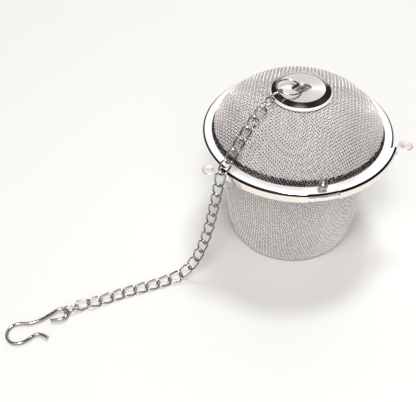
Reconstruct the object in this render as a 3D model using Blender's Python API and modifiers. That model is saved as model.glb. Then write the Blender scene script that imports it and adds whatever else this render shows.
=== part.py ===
"""Covered mesh tea infuser with a sliding lock band, and a hook on a twisted-link chain.

Metres, +Z up. The origin is the centre of the basket's flat bottom, on the table.
-Y is the front, where the lock band, its window and the stop ball are.
"""

from math import acos, cos, pi, radians, sin, sqrt

import bmesh
import bpy
from mathutils import Matrix, Vector

MM = 0.001
TURN_STEPS = 48

# Woven cloth, drawn to a cup and to a dome
CLOTH = 0.5 * MM
BASKET_TOP_R = 29.9 * MM
BASKET_FOOT_R = 23.7 * MM
BASKET_CORNER = 3.4 * MM
BASKET_FLARE = 0.55 * MM
DOME_R = 31.5 * MM
DOME_RISE = 17.75 * MM
DOME_FULLNESS = 1.1
BRIM_R = 32.6 * MM

# Folded flanges, from the lowest leaf up
LEAF = 0.3 * MM
BASKET_RIM_R = 34.7 * MM
BASKET_RIM_Z = 46.1 * MM
BASKET_RIM_H = 1.2 * MM
BASKET_RIM_LOW_IN = 30.9 * MM
BASKET_RIM_TOP_IN = 30.1 * MM
LID_RIM_R = 35.0 * MM
LID_RIM_Z = 47.45 * MM
LID_RIM_H = 1.1 * MM
LID_RIM_LOW_IN = 31.2 * MM
LID_RIM_TOP_IN = 32.0 * MM
LID_LEAF = 0.25 * MM
BASKET_BRIM_Z = BASKET_RIM_Z + BASKET_RIM_H / 2
LID_BRIM_Z = LID_RIM_Z + LID_RIM_H / 2

# Lock band: a plate on the lid's flange, a skirt round both flanges, and four lips under them
BAND_HALF = 62.8
BAND_INNER_HALF = 56.5
BAND_PLATE_R = 32.9 * MM
BAND_R = 36.7 * MM
BAND_SKIRT_R = 36.3 * MM
BAND_TOP = 48.95 * MM
BAND_PLATE = 0.3 * MM
BAND_FOOT = 45.65 * MM
LIP = 0.3 * MM
LIP_R = 33.7 * MM
LIP_AZIMUTHS = (-50.0, -26.0, 26.0, 50.0)
LIP_WIDTH = 5.4
NOTCH_WIDTH = 7.0
NOTCH_R = 33.3 * MM
WINDOW_HALF = 8.85
WINDOW_R = 35.75 * MM
WINDOW_FOOT = 47.1 * MM
STRIP_FOOT = 46.0 * MM
RECESS_HALF = 9.9
RECESS_R = 35.3 * MM
CUT_IN = 32.0 * MM
CUT_OUT = 38.0 * MM
CUT_LOW = 44.0 * MM
CUT_HIGH = 50.0 * MM

# Stop ball, riveted in the lid's flange
BALL_R = 1.8 * MM
BALL_AT = 33.7 * MM
BALL_Z = 50.45 * MM
STEM_R = 0.6 * MM

# Finger tabs at the band's ends
TAB_R = 2.7 * MM
TAB_AT = 39.6 * MM
TAB_AZIMUTH = 66.0
TAB_NECK_AZIMUTH = 62.6
TAB_FOOT_AZIMUTH = 61.2
TAB_FOOT = 2.0 * MM
TAB_T = 0.45 * MM
TAB_Z = 47.9 * MM
TAB_NECK = 2.0 * MM

# Polished cap with a lanced bridge, and the plate that backs it inside the dome
CAP_TOP_Z = 67.2 * MM
CAP_TOP_R = 9.4 * MM
CAP_R = 11.4 * MM
CAP_FOOT_Z = 65.35 * MM
CAP_T = 0.4 * MM
BRIDGE_SPAN = 7.5 * MM
BRIDGE_RISE = 1.95 * MM
BRIDGE_W = 1.8 * MM
BACKING_R = 10.9 * MM
BACKING_HOLE_R = 6.5 * MM
BACKING_T = 0.3 * MM

# Ring, links and hook are round wire
RING_WIRE = 0.6 * MM
RING_R = 4.5 * MM
RING_BRIDGE_X = -0.3 * MM
RING_LOW_Z = 67.7 * MM
RING_HIGH_Z = 68.65 * MM
LINK_WIRE = 0.5 * MM
LINK_PITCH = 4.57 * MM
LINK_WIDTH = 4.1 * MM
LINK_SLACK = 0.14 * MM
LINK_TWIST = 30.0
LINK_POINTS = 14
HOOK_WIRE = 1.1 * MM
HOOK_STEP = 1.4 * MM

# The chain's route in millimetres: down the dome, over the band, to the table and along it
ROUTE = (
    (-8.35, -2.3, 68.75), (-12.1, -4.8, 67.5), (-15.8, -7.3, 65.3), (-19.0, -9.6, 63.2),
    (-22.2, -11.9, 60.4), (-25.2, -14.1, 57.2), (-28.2, -16.4, 54.0), (-31.3, -18.9, 51.3),
    (-33.5, -20.9, 48.0), (-34.3, -21.6, 43.0), (-35.6, -22.0, 36.0), (-37.1, -22.3, 28.0),
    (-39.0, -22.6, 20.0), (-41.5, -22.8, 12.5), (-45.0, -23.2, 6.0), (-49.5, -23.8, 2.5),
    (-55.3, -24.6, 1.4), (-61.0, -25.7, 1.2), (-66.6, -26.5, 1.2), (-72.1, -27.6, 1.2),
    (-77.0, -28.9, 1.2), (-82.0, -30.0, 1.4), (-87.5, -31.2, 2.25), (-93.6, -33.2, 2.4),
)
LINK_COUNT = 29

# How far each link is rolled from lying flat: (link, degrees), and evenly in between
ROLL = ((1, 62.0), (2, 28.0), (3, 0.0), (7, 0.0), (12, -38.0), (18, -38.0), (22, -14.0), (27, -14.0),
        (28, -55.0), (29, -98.0))

# The hook's wire in millimetres, from the end of its eye to its tip
HOOK = (
    (-98.4, -35.6), (-95.6, -36.0), (-93.3, -35.3), (-92.1, -33.3), (-93.3, -31.5), (-95.9, -31.4),
    (-99.0, -32.9), (-102.7, -34.7), (-106.4, -35.3), (-110.0, -34.7), (-112.4, -35.2),
    (-114.2, -37.0), (-114.8, -39.4), (-114.0, -41.8), (-112.2, -43.3), (-109.8, -43.5),
    (-107.3, -42.5), (-105.0, -41.2), (-103.2, -41.0), (-101.6, -41.9), (-100.4, -43.0),
)
HOOK_EYE_Z = 1.75
HOOK_FAR_Z = 0.62


def clear_scene():
    for item in list(bpy.data.objects):
        bpy.data.objects.remove(item)


def collection(name):
    made = bpy.data.collections.new(name)
    bpy.context.scene.collection.children.link(made)
    return made


def material(name, colour, roughness, metallic=1.0):
    made = bpy.data.materials.new(name)
    made.use_nodes = True
    surface = made.node_tree.nodes["Principled BSDF"]
    surface.inputs["Base Color"].default_value = (*colour, 1.0)
    surface.inputs["Roughness"].default_value = roughness
    surface.inputs["Metallic"].default_value = metallic
    made.diffuse_color = (*colour, 1.0)
    return made


def add_object(name, data, home, colour=(0.72, 0.71, 0.69), roughness=0.3):
    item = bpy.data.objects.new(name, data)
    home.objects.link(item)
    data.materials.append(material(name, colour, roughness))
    return item


def mesh_object(name, shape, home, **finish):
    """An object from a bmesh, with sharp edges kept where faces meet at more than 40 degrees."""
    data = bpy.data.meshes.new(name)
    shape.to_mesh(data)
    shape.free()
    data.shade_smooth()
    data.set_sharp_from_angle(angle=radians(40))
    return add_object(name, data, home, **finish)


def profile_object(name, points, home, closed=False, **finish):
    """A chain of edges in the XZ plane, ready for a Screw modifier."""
    shape = bmesh.new()
    corners = [shape.verts.new((r, 0.0, z)) for r, z in points]
    for start, end in zip(corners, corners[1:]):
        shape.edges.new((start, end))
    if closed:
        shape.edges.new((corners[-1], corners[0]))
    return mesh_object(name, shape, home, **finish)


def turn(item, steps=TURN_STEPS):
    screw = item.modifiers.new("Turn", "SCREW")
    screw.axis = "Z"
    screw.steps = steps
    screw.render_steps = steps
    screw.use_smooth_shade = True
    screw.use_merge_vertices = True
    screw.merge_threshold = 0.00001


def thicken(item, thickness):
    shell = item.modifiers.new("Thickness", "SOLIDIFY")
    shell.thickness = thickness
    shell.offset = 0.0
    shell.use_even_offset = True


def boolean(item, cutter, operation="DIFFERENCE"):
    step = item.modifiers.new(cutter.name, "BOOLEAN")
    step.operation = operation
    step.object = cutter


def make_cutter(item):
    item.hide_render = True
    item.display_type = "WIRE"
    return item


def polar(radius, azimuth, height=0.0):
    """A point at an azimuth in degrees from the front, positive towards +X."""
    angle = radians(azimuth - 90.0)
    return Vector((radius * cos(angle), radius * sin(angle), height))


def arc_solid(name, section, centre, half_width, home, steps):
    """A closed section of (r, z) points swept round Z between two azimuths."""
    shape = bmesh.new()
    first = centre - half_width
    corners = [shape.verts.new(polar(r, first, z)) for r, z in section]
    shape.faces.new(corners)
    bmesh.ops.spin(
        shape, geom=shape.verts[:] + shape.edges[:] + shape.faces[:], cent=(0, 0, 0),
        axis=(0, 0, 1), angle=radians(2 * half_width), steps=steps,
    )
    bmesh.ops.recalc_face_normals(shape, faces=shape.faces)
    return mesh_object(name, shape, home)


def box_section(r0, r1, z0, z1):
    return ((r0, z0), (r1, z0), (r1, z1), (r0, z1))


def catmull(points, spacing):
    """A smooth curve through the points, as short straight steps."""
    knots = [Vector(p) for p in points]
    knots = [2 * knots[0] - knots[1], *knots, 2 * knots[-1] - knots[-2]]
    smooth = []
    for a, b, c, d in zip(knots, knots[1:], knots[2:], knots[3:]):
        count = max(2, round((c - b).length / spacing))
        t1 = sqrt((b - a).length)
        t2 = t1 + sqrt((c - b).length)
        t3 = t2 + sqrt((d - c).length)
        for step in range(count):
            t = t1 + (t2 - t1) * step / count
            ab = a.lerp(b, t / t1)
            bc = b.lerp(c, (t - t1) / (t2 - t1))
            cd = c.lerp(d, (t - t2) / (t3 - t2))
            abc = ab.lerp(bc, t / t2)
            bcd = bc.lerp(cd, (t - t1) / (t3 - t1))
            smooth.append(abc.lerp(bcd, (t - t1) / (t2 - t1)))
    smooth.append(knots[-2])
    return smooth


def wire(name, points, diameter, home, pivot, closed=False, sides=8, **finish):
    """Round wire as a closed mesh with its origin at a pivot, from a POLY curve with filled caps."""
    curve = bpy.data.curves.new(name, "CURVE")
    curve.dimensions = "3D"
    curve.bevel_depth = diameter / 2
    curve.bevel_resolution = (sides - 4) // 2
    curve.use_fill_caps = True
    spline = curve.splines.new("POLY")
    spline.points.add(len(points) - 1)
    for place, point in zip(spline.points, points):
        place.co = (*(point - pivot), 1.0)
    spline.use_cyclic_u = closed
    carrier = bpy.data.objects.new(name + "_curve", curve)
    home.objects.link(carrier)
    bpy.context.view_layer.update()
    evaluated = carrier.evaluated_get(bpy.context.evaluated_depsgraph_get())
    data = bpy.data.meshes.new_from_object(evaluated)
    shape = bmesh.new()
    shape.from_mesh(data)
    bmesh.ops.remove_doubles(shape, verts=shape.verts, dist=0.000002)
    bmesh.ops.recalc_face_normals(shape, faces=shape.faces)
    bpy.data.objects.remove(carrier)
    bpy.data.meshes.remove(data)
    item = mesh_object(name, shape, home, **finish)
    item.location = pivot
    return item


def basket_radius(height):
    """The basket wall's radius: a straight taper with a slight flare towards the top."""
    share = height / BASKET_BRIM_Z
    taper = BASKET_FOOT_R + (BASKET_TOP_R - BASKET_FLARE - BASKET_FOOT_R) * share
    return taper + BASKET_FLARE * share**4


def dome_height(radius):
    return LID_BRIM_Z + DOME_RISE * sin(acos(min(1.0, radius / DOME_R))) ** DOME_FULLNESS


def make_basket_mesh(home):
    levels = [0.93, 0.8, 0.6, 0.4, 0.2]
    wall = [(basket_radius(BASKET_BRIM_Z * level), BASKET_BRIM_Z * level) for level in levels]
    half = CLOTH / 2
    corner = []
    for angle in (0, 30, 60, 90):
        side = BASKET_FOOT_R - BASKET_CORNER * (1 - cos(radians(angle)))
        corner.append((side, half + BASKET_CORNER * (1 - sin(radians(angle)))))
    brim = [(BRIM_R, BASKET_BRIM_Z), (BASKET_TOP_R + 0.5 * MM, BASKET_BRIM_Z)]
    points = [*brim, (BASKET_TOP_R, BASKET_BRIM_Z - 0.5 * MM), *wall, *corner, (0.0, half)]
    item = profile_object("basket_mesh", points, home, colour=(0.55, 0.53, 0.51), roughness=0.35)
    turn(item)
    thicken(item, CLOTH)


def make_lid_mesh(home):
    dome = []
    for angle in (3, 14, 26, 38, 50, 62, 74):
        radius = DOME_R * cos(radians(angle))
        dome.append((radius, dome_height(radius)))
    brim = [(BRIM_R, LID_BRIM_Z), (DOME_R + 0.3 * MM, LID_BRIM_Z)]
    points = [(0.0, dome_height(0.0)), *reversed(dome), *reversed(brim)]
    item = profile_object("lid_mesh", points, home, colour=(0.55, 0.53, 0.51), roughness=0.35)
    turn(item)
    thicken(item, CLOTH)


def folded_ring(name, outer, low_inner, top_inner, foot, height, leaf, home):
    """A sheet ring folded at its outer edge, with the cloth's brim between its two leaves."""
    fold = outer - 1.5 * leaf
    section = (
        (top_inner, foot + height), (outer, foot + height), (outer, foot), (low_inner, foot),
        (low_inner, foot + leaf), (fold, foot + leaf), (fold, foot + height - leaf),
        (top_inner, foot + height - leaf),
    )
    item = profile_object(name, section, home, closed=True, roughness=0.22)
    turn(item)
    return item


def make_basket_rim(home, cutters):
    item = folded_ring(
        "basket_rim", BASKET_RIM_R, BASKET_RIM_LOW_IN, BASKET_RIM_TOP_IN, BASKET_RIM_Z,
        BASKET_RIM_H, LEAF, home
    )
    for azimuth in LIP_AZIMUTHS:
        section = box_section(NOTCH_R, CUT_OUT, CUT_LOW, CUT_HIGH)
        name = f"notch_{azimuth:+.0f}"
        boolean(item, make_cutter(arc_solid(name, section, azimuth, NOTCH_WIDTH / 2, cutters, 2)))


def make_lid_rim(home, cutters):
    item = folded_ring(
        "lid_rim", LID_RIM_R, LID_RIM_LOW_IN, LID_RIM_TOP_IN, LID_RIM_Z, LID_RIM_H, LID_LEAF, home
    )
    hole = bmesh.new()
    bmesh.ops.create_cone(
        hole, cap_ends=True, segments=16, radius1=STEM_R + 0.1 * MM, radius2=STEM_R + 0.1 * MM,
        depth=1.0 * MM, matrix=Matrix.Translation((0, -BALL_AT, LID_RIM_Z + LID_RIM_H)),
    )
    boolean(item, make_cutter(mesh_object("stem_hole", hole, cutters)))


def make_stop_ball(home):
    points = [(0.0, BALL_R)]
    for angle in range(20, 150, 20):
        points.append((BALL_R * sin(radians(angle)), BALL_R * cos(radians(angle))))
    stem_foot = LID_BRIM_Z - BALL_Z
    points += [(STEM_R, -BALL_R * cos(radians(19))), (STEM_R, stem_foot), (0.0, stem_foot)]
    item = profile_object("stop_ball", points, home, roughness=0.08)
    turn(item, 20)
    item.location = (0.0, -BALL_AT, BALL_Z)


def end_slant(name, side, home):
    """A wedge that takes the plate's inner corner off at one end of the band."""
    slope = (BAND_HALF - BAND_INNER_HALF) / (BAND_R - BAND_PLATE_R)
    outline = []
    for radius in (CUT_IN, BAND_SKIRT_R - 0.1 * MM):
        azimuth = BAND_INNER_HALF + (radius - BAND_PLATE_R) * slope
        outline.append(polar(radius, side * azimuth, LID_RIM_Z))
    outline.append(polar(BAND_SKIRT_R - 0.1 * MM, side * (BAND_HALF + 2.0), LID_RIM_Z))
    outline.append(polar(CUT_IN, side * (BAND_HALF + 2.0), LID_RIM_Z))
    wedge = bmesh.new()
    face = wedge.faces.new([wedge.verts.new(point) for point in outline])
    swept = bmesh.ops.extrude_face_region(wedge, geom=[face])
    moved = [part for part in swept["geom"] if isinstance(part, bmesh.types.BMVert)]
    bmesh.ops.translate(wedge, verts=moved, vec=(0, 0, CUT_HIGH - LID_RIM_Z))
    bmesh.ops.recalc_face_normals(wedge, faces=wedge.faces)
    return mesh_object(name, wedge, home)


def make_lock_band(home, cutters):
    section = (
        (BAND_PLATE_R, BAND_TOP - BAND_PLATE), (BAND_SKIRT_R, BAND_TOP - BAND_PLATE),
        (BAND_SKIRT_R, BAND_FOOT), (BAND_R, BAND_FOOT), (BAND_R, BAND_TOP - 0.3 * MM),
        (BAND_R - 0.3 * MM, BAND_TOP), (BAND_PLATE_R, BAND_TOP),
    )
    item = arc_solid("lock_band", section, 0.0, BAND_HALF, home, 20)
    for azimuth in LIP_AZIMUTHS:
        section = box_section(LIP_R, BAND_SKIRT_R + 0.2 * MM, BAND_FOOT + 0.02 * MM,
                              BAND_FOOT + LIP)
        lip = arc_solid(f"lip_{azimuth:+.0f}", section, azimuth, LIP_WIDTH / 2, cutters, 2)
        boolean(item, make_cutter(lip), "UNION")
    through = box_section(WINDOW_R, CUT_OUT, WINDOW_FOOT, CUT_HIGH)
    boolean(item, make_cutter(arc_solid("window", through, 0.0, WINDOW_HALF, cutters, 4)))
    below = box_section(WINDOW_R, CUT_OUT, CUT_LOW, STRIP_FOOT)
    boolean(item, make_cutter(arc_solid("strip_foot", below, 0.0, WINDOW_HALF, cutters, 4)))
    shallow = box_section(CUT_IN, RECESS_R, LID_RIM_Z, CUT_HIGH)
    boolean(item, make_cutter(arc_solid("recess", shallow, 0.0, RECESS_HALF, cutters, 4)))
    for side in (-1, 1):
        boolean(item, make_cutter(end_slant(f"end_slant_{side:+d}", side, cutters)))


def welded_box(item, name, radius, azimuth, z, size, cutters):
    """A box facing outwards at a place round the rim, joined to an object."""
    box = bmesh.new()
    place = Matrix.Translation(polar(radius, azimuth, z))
    place = place @ Matrix.Rotation(radians(azimuth - 90.0), 4, "Z")
    bmesh.ops.create_cube(box, size=1.0, matrix=place @ Matrix.Diagonal((*size, 1.0)))
    boolean(item, make_cutter(mesh_object(name, box, cutters)), "UNION")


def make_tab(name, side, home, cutters):
    """A round finger tab on a short neck, with a foot spot-welded to the band's skirt."""
    disc = bmesh.new()
    bmesh.ops.create_cone(
        disc, cap_ends=True, segments=28, radius1=TAB_R, radius2=TAB_R, depth=TAB_T,
        matrix=Matrix.Translation(polar(TAB_AT, side * TAB_AZIMUTH, TAB_Z)),
    )
    item = mesh_object(name, disc, home, roughness=0.25)
    inside = BAND_R + 0.12 * MM
    neck_size = (TAB_NECK, 4.4 * MM, TAB_T - 0.04 * MM)
    welded_box(item, name + "_neck", inside + 0.06 * MM + TAB_NECK / 2, side * TAB_NECK_AZIMUTH,
               TAB_Z, neck_size, cutters)
    foot_size = (TAB_T, 2.6 * MM, TAB_FOOT)
    foot_z = TAB_Z + TAB_T / 2 - 0.03 * MM - TAB_FOOT / 2
    welded_box(item, name + "_foot", inside + TAB_T / 2, side * TAB_FOOT_AZIMUTH, foot_z,
               foot_size, cutters)


def arch(span, rise, thickness, count):
    """Outline of a flat strap bent to a pointed arch, feet sunk by the strap's thickness."""
    top = []
    under = []
    for step in range(count + 1):
        across = -1 + 2 * step / count
        height = rise * (1 - abs(across) ** 1.5)
        top.append((across * span / 2, height))
        under.append((across * (span / 2 - thickness), height - thickness))
    return top + under[::-1]


def make_lid_cap(home, cutters):
    half = CAP_T / 2
    top = CAP_TOP_Z - half
    points = [
        (0.0, top), (CAP_TOP_R - 1.0 * MM, top), (CAP_TOP_R - 0.3 * MM, top - 0.12 * MM),
        (CAP_TOP_R + 0.2 * MM, top - 0.5 * MM), (CAP_R - 0.5 * MM, CAP_FOOT_Z + 0.35 * MM),
        (CAP_R - 0.1 * MM, CAP_FOOT_Z + half),
    ]
    item = profile_object("lid_cap", points, home, roughness=0.06)
    turn(item, 40)
    thicken(item, CAP_T)
    opening = bmesh.new()
    size = Matrix.Diagonal((BRIDGE_SPAN - 0.6 * MM, BRIDGE_W + 0.3 * MM, 2.0 * MM, 1.0))
    bmesh.ops.create_cube(opening, size=1.0, matrix=Matrix.Translation((0, 0, top)) @ size)
    boolean(item, make_cutter(mesh_object("bridge_opening", opening, cutters)))
    strap = bmesh.new()
    outline = arch(BRIDGE_SPAN, BRIDGE_RISE, 0.35 * MM, 12)
    corners = [strap.verts.new((x, -BRIDGE_W / 2, top - 0.03 * MM + z)) for x, z in outline]
    face = strap.faces.new(corners)
    swept = bmesh.ops.extrude_face_region(strap, geom=[face])
    moved = [part for part in swept["geom"] if isinstance(part, bmesh.types.BMVert)]
    bmesh.ops.translate(strap, verts=moved, vec=(0, BRIDGE_W, 0))
    bmesh.ops.recalc_face_normals(strap, faces=strap.faces)
    boolean(item, make_cutter(mesh_object("bridge_strap", strap, cutters)), "UNION")


def make_cap_backing(home):
    drop = CLOTH / 2 + 0.2 * MM
    rings = [BACKING_R - step * (BACKING_R - BACKING_HOLE_R) / 2 for step in range(3)]
    under = [(r, dome_height(r) - drop - BACKING_T) for r in rings]
    over = [(r, dome_height(r) - drop) for r in reversed(rings)]
    item = profile_object("cap_backing", [*over, *under], home, closed=True)
    turn(item, 40)


def ring_centre():
    return Vector((RING_BRIDGE_X - RING_R, -0.3 * MM, (RING_LOW_Z + RING_HIGH_Z) / 2))


def make_cap_ring(home):
    """Flat on the cap, its right end under the bridge, its left end raised by the first link."""
    centre = ring_centre()
    points = []
    for step in range(28):
        angle = 2 * pi * step / 28
        lift = -cos(angle) * (RING_HIGH_Z - RING_LOW_Z) / 2
        offset = Vector((RING_R * cos(angle), RING_R * sin(angle), lift))
        points.append(centre + offset)
    pivot = centre + Vector((RING_R, 0.0, (RING_LOW_Z - RING_HIGH_Z) / 2))
    wire("cap_ring", points, RING_WIRE, home, pivot, closed=True, roughness=0.12)


def chain_joints():
    """Points one link pitch apart along the route."""
    curve = catmull([Vector(p) * MM for p in ROUTE], 0.1 * MM)
    found = [curve[0]]
    for start, end in zip(curve, curve[1:]):
        while (end - found[-1]).length >= LINK_PITCH and len(found) <= LINK_COUNT:
            low, high = 0.0, 1.0
            for _ in range(30):
                middle = (low + high) / 2
                if (start.lerp(end, middle) - found[-1]).length < LINK_PITCH:
                    low = middle
                else:
                    high = middle
            found.append(start.lerp(end, high))
    return found


def roll_of(link):
    for (first, start), (last, end) in zip(ROLL, ROLL[1:]):
        if first <= link <= last:
            return start + (end - start) * (link - first) / (last - first)
    return 0.0


def link_frame(start, end, roll):
    """Axes of a link: along the chain, across it, and out of its face."""
    along = (end - start).normalized()
    across = Vector((0, 0, 1)).cross(along).normalized()
    face = along.cross(across)
    turned = Matrix.Rotation(radians(roll), 3, along)
    frame = Matrix((along, turned @ across, turned @ face)).transposed().to_4x4()
    return Matrix.Translation((start + end) / 2) @ frame


def link_wire():
    """Centreline of one twisted link: a stadium whose ends are rolled opposite ways."""
    reach = (LINK_PITCH + LINK_WIRE + LINK_SLACK) / 2
    half = (LINK_WIDTH - LINK_WIRE) / 2
    points = []
    for step in range(LINK_POINTS):
        angle = 2 * pi * (step + 0.5) / LINK_POINTS
        side = 1 if cos(angle) > 0 else -1
        x = half * cos(angle) + (reach - half) * side
        y = half * sin(angle)
        twist = radians(LINK_TWIST) * x / reach
        points.append(Vector((x, y * cos(twist), y * sin(twist))))
    return points


def make_chain(home):
    places = chain_joints()
    shape = link_wire()
    for index in range(LINK_COUNT):
        frame = link_frame(places[index], places[index + 1], roll_of(index + 1))
        points = [frame @ point for point in shape]
        wire(f"link_{index + 1:02d}", points, LINK_WIRE, home, places[index], closed=True, sides=6,
             colour=(0.6, 0.56, 0.52), roughness=0.2)


def make_hook(home):
    high, low = HOOK[3][0], HOOK[-9][0]
    route = []
    for x, y in HOOK:
        share = min(1.0, max(0.0, (x - low) / (high - low)))
        route.append(Vector((x, y, HOOK_FAR_Z + (HOOK_EYE_Z - HOOK_FAR_Z) * share**1.5)) * MM)
    wire("hook", catmull(route, HOOK_STEP), HOOK_WIRE, home, chain_joints()[-1], roughness=0.15)


def main():
    clear_scene()
    infuser = collection("tea_infuser")
    cutters = collection("tea_infuser_cutters")
    make_basket_mesh(infuser)
    make_basket_rim(infuser, cutters)
    make_lid_mesh(infuser)
    make_lid_rim(infuser, cutters)
    make_stop_ball(infuser)
    make_lock_band(infuser, cutters)
    make_tab("finger_tab_left", -1, infuser, cutters)
    make_tab("finger_tab_right", 1, infuser, cutters)
    make_lid_cap(infuser, cutters)
    make_cap_backing(infuser)
    make_cap_ring(infuser)
    make_chain(infuser)
    make_hook(infuser)


main()
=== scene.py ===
"""Covered mesh tea infuser: woven cloth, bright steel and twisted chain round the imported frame."""

import math

import bmesh
import bpy
import numpy as np
from mathutils import Matrix, Vector


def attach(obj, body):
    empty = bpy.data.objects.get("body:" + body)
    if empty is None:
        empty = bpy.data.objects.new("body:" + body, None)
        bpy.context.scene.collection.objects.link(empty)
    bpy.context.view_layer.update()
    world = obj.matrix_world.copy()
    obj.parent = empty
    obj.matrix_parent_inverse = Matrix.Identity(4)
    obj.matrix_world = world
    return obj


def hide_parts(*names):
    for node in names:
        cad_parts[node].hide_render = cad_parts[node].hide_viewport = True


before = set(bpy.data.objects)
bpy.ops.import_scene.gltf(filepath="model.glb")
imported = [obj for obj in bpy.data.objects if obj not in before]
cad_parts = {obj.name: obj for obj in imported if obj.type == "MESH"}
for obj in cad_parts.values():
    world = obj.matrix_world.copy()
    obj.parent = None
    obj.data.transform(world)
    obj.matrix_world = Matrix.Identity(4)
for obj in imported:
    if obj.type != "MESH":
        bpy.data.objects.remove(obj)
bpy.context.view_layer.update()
MM = 0.001

# ---------------------------------------------------------------- materials

NOISE_LOW, NOISE_HIGH = 0.35, 0.65
DRIFT_DETAIL, WAVE_DETAIL, WAVE_SCALE = 3.0, 2.0, 0.4
BUMP_DISTANCE = 0.2 * MM


class Nodes:
    """A material's node tree, with short calls for adding and linking."""

    def __init__(self, name, **values):
        self.mat = bpy.data.materials.new(name)
        self.mat.use_nodes = True
        self.tree = self.mat.node_tree
        self.surface = self.tree.nodes["Principled BSDF"]
        self.set(self.surface, **values)

    def set(self, node, **values):
        """Set a node's sockets by name, with a value or with another node's output."""
        for key, value in values.items():
            socket = node.inputs[key.replace("_", " ")]
            if hasattr(value, "is_output"):
                self.tree.links.new(value, socket)
            else:
                socket.default_value = value
        return node

    def add(self, kind, **values):
        return self.set(self.tree.nodes.new(kind), **values)

    def noise(self, scale, detail):
        place = self.add("ShaderNodeTexCoord").outputs["Object"]
        return self.add("ShaderNodeTexNoise", Scale=scale, Detail=detail, Vector=place).outputs["Fac"]

    def ramp(self, value, low, high):
        """Spread the usual range of a noise from low to high."""
        node = self.add("ShaderNodeMapRange", Value=value, From_Min=NOISE_LOW, From_Max=NOISE_HIGH,
                        To_Min=low, To_Max=high)
        return node.outputs["Result"]


def steel(name, colour, low, high, scale, bump=0.0, metallic=1.0):
    """Bright steel: its roughness drifts between two values, with faint waviness from forming."""
    nodes = Nodes(name, Base_Color=(*colour, 1.0), Metallic=metallic)
    nodes.set(nodes.surface, Roughness=nodes.ramp(nodes.noise(scale, DRIFT_DETAIL), low, high))
    if bump:
        waves = nodes.add("ShaderNodeBump", Strength=bump, Distance=BUMP_DISTANCE,
                          Height=nodes.noise(scale * WAVE_SCALE, WAVE_DETAIL))
        nodes.set(nodes.surface, Normal=waves.outputs["Normal"])
    return nodes.mat


def brushed(name, colour, rough, stretch):
    """Steel turned on a lathe: its fine rings stretch every reflection across them."""
    nodes = Nodes(name, Base_Color=(*colour, 1.0), Metallic=1.0, Roughness=rough, Anisotropic=stretch)
    rings = nodes.add("ShaderNodeTangent")
    rings.direction_type, rings.axis = "RADIAL", "Z"
    nodes.set(nodes.surface, Tangent=rings.outputs["Tangent"])
    return nodes.mat


# Name, colour, lowest and highest roughness, scale of the drift per metre, waviness, metallic share.
MAT = {
    "cloth": steel("woven_wire", (1.0, 0.965, 0.945), 0.14, 0.20, 900.0, 0.15, 0.35),
    "basket_cloth": steel("woven_wire_basket", (1.0, 0.965, 0.94), 0.22, 0.30, 900.0, 0.15, 0.15),
    # Painted shade: the inner halves of the cloth's wires are near black, standing for the shade inside the lid
    # and basket.
    "lid_inside": steel("woven_wire_lid_inside_painted_shade", (0.02, 0.018, 0.016), 0.35, 0.50, 900.0),
    "basket_inside": steel("woven_wire_basket_inside_painted_shade", (0.04, 0.036, 0.034), 0.35, 0.50, 900.0),
    # Painted shade: the lid cloth's wires low in the flange's corner are near black.
    "cloth_foot": steel("woven_wire_foot_painted_shade", (0.025, 0.02, 0.018), 0.20, 0.32, 900.0, 0.15),
    "rim": steel("rolled_rim", (0.90, 0.89, 0.875), 0.08, 0.16, 220.0, 0.05),
    "band": steel("lock_band_steel", (0.92, 0.90, 0.875), 0.08, 0.16, 180.0, 0.05),
    "plate": steel("satin_plate_steel", (0.93, 0.92, 0.905), 0.40, 0.50, 220.0, 0.05, 0.55),
    # Painted light: the skirt is the band's steel tinted cream, standing for the warm light on its upright face.
    "skirt": steel("lock_band_skirt_painted_warm_light", (0.93, 0.86, 0.81), 0.10, 0.18, 180.0, 0.05),
    # Painted shade: near-black steel on edges, bends and hidden walls, standing for the shade and the dark
    # surroundings they mirror.
    "shade": steel("painted_shade_steel", (0.02, 0.018, 0.016), 0.30, 0.38, 180.0, 0.05),
    # Painted light: the cut wall at the band's window is near-white and mostly not metallic, so it shows bright
    # where steel would mirror dark.
    "cut": steel("cut_edge_painted_light", (0.95, 0.93, 0.91), 0.40, 0.48, 220.0, 0.05, 0.1),
    # Painted shade: the tabs are the band's steel painted darker and pinker, standing for the shade and
    # reflection on them.
    "tab": steel("finger_tab_shaded_steel", (0.74, 0.69, 0.67), 0.22, 0.32, 260.0, 0.05),
    "cap_top": brushed("brushed_cap_steel", (0.68, 0.675, 0.665), 0.24, 0.8),
    "cap": steel("polished_cap_steel", (0.50, 0.495, 0.49), 0.05, 0.10, 160.0, 0.04),
    # Painted light: the cap's foot is near-white and mostly not metallic, a painted bright reflection where
    # steel would mirror dark cloth.
    "cap_foot": steel("cap_foot_painted_light", (0.97, 0.96, 0.95), 0.40, 0.48, 160.0, 0.04, 0.1),
    "ball": steel("polished_ball", (0.40, 0.39, 0.38), 0.14, 0.20, 260.0, 0.0, 0.85),
    "wire": steel("bright_wire", (0.40, 0.39, 0.38), 0.05, 0.10, 700.0, 0.08),
    "chain": steel("chain_wire", (0.42, 0.395, 0.375), 0.04, 0.08, 900.0, 0.12),
}

# ---------------------------------------------------------------- meshes


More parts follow.
